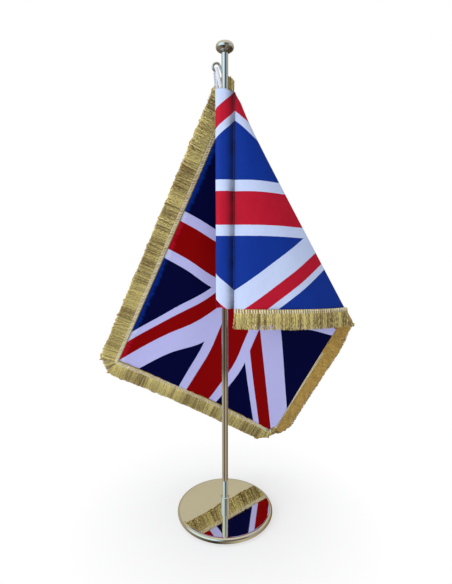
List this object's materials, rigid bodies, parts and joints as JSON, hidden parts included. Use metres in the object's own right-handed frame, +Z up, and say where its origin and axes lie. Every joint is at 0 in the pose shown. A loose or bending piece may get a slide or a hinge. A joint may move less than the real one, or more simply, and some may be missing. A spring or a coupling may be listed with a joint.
{
  "type": "desk flag stand",
  "caption": "Desk flag stand: fringed satin flag in a sleeve on a thin chrome pole with a wire hook, button finial, collar and weighted round base.",
  "frame": {"origin": "centre of the base's flat underside", "axes": "+Z up along the pole, the flag's front panel faces -Y, and the fold of the flag points to +X"},
  "size_m": [0.2794, 0.1311, 0.4493],
  "materials": {
    "chrome_base": "mirror polished",
    "chrome_pole": "polished",
    "steel": "zinc plated",
    "iron": "rough",
    "felt": "matt felt",
    "white_tape": "woven",
    "satin": "printed satin",
    "white_thread": "thread",
    "gold_braid": "metallic braid",
    "gold_fringe": "metallic threads"
  },
  "bodies": {
    "base": {"base_cover": "chrome_base", "base_weight": "iron", "base_nut": "steel", "base_washer": "steel", "base_felt": "felt", "base_collar": "chrome_pole"},
    "pole": {"pole_tube": "chrome_pole", "pole_foot_stud": "steel", "pole_top_plug": "steel", "hook_wire": "chrome_pole", "hanging_loop": "white_tape"},
    "finial": {"finial_cap": "chrome_pole"},
    "flag": {"flag_cloth": "satin", "sleeve_thread": "white_thread", "header_top": "gold_braid", "header_fly": "gold_braid", "header_bottom": "gold_braid", "fringe_top": "gold_fringe", "fringe_fly": "gold_fringe", "fringe_bottom": "gold_fringe"}
  },
  "joints": [
    {"name": "pole_turn", "type": "hinge", "parent": "base", "child": "pole", "pos_m": [0, 0, 0.018], "axis": [0, 0, 1], "continuous": true},
    {"name": "finial_turn", "type": "hinge", "parent": "pole", "child": "finial", "pos_m": [0, 0, 0.4403], "axis": [0, 0, 1], "continuous": true},
    {"name": "flag_swivel", "type": "hinge", "parent": "pole", "child": "flag", "pos_m": [0, 0, 0.307], "axis": [0, 0, 1], "range_deg": [-30, 20]}
  ]
}
